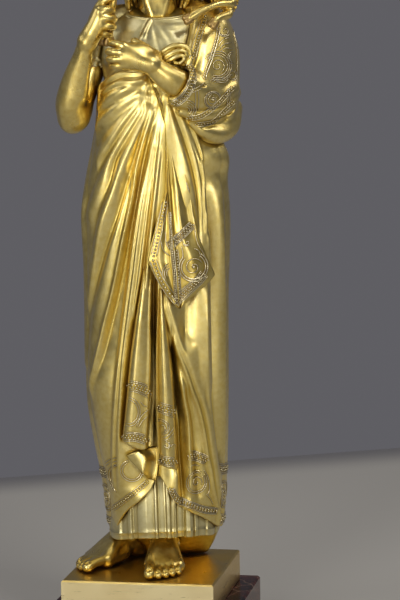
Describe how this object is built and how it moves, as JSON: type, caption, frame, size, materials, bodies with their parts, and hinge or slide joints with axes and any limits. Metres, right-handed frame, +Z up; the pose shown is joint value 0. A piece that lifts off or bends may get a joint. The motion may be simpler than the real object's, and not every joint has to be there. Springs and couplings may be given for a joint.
{
  "type": "good shepherd statue",
  "caption": "Gilt bronze statuette of a robed young shepherd carrying a lamb over his shoulders, on a square gilt plinth and marble base.",
  "frame": {"origin": "centre of the marble base's underside", "axes": "+Z up, the plinth's front and the figure face -Y, +X towards the figure's left hand"},
  "size_m": [0.103, 0.099, 0.3988],
  "materials": {
    "gilt_bronze": "chased and gilded, warm gold mantle over a paler tunic",
    "satin_gilding": "brushed satin gilding",
    "red_marble": "polished, dark red with veins"
  },
  "bodies": {
    "root": {"shepherd_with_lamb": "gilt_bronze", "gilt_plinth": "satin_gilding", "marble_base": "red_marble"}
  },
  "joints": []
}
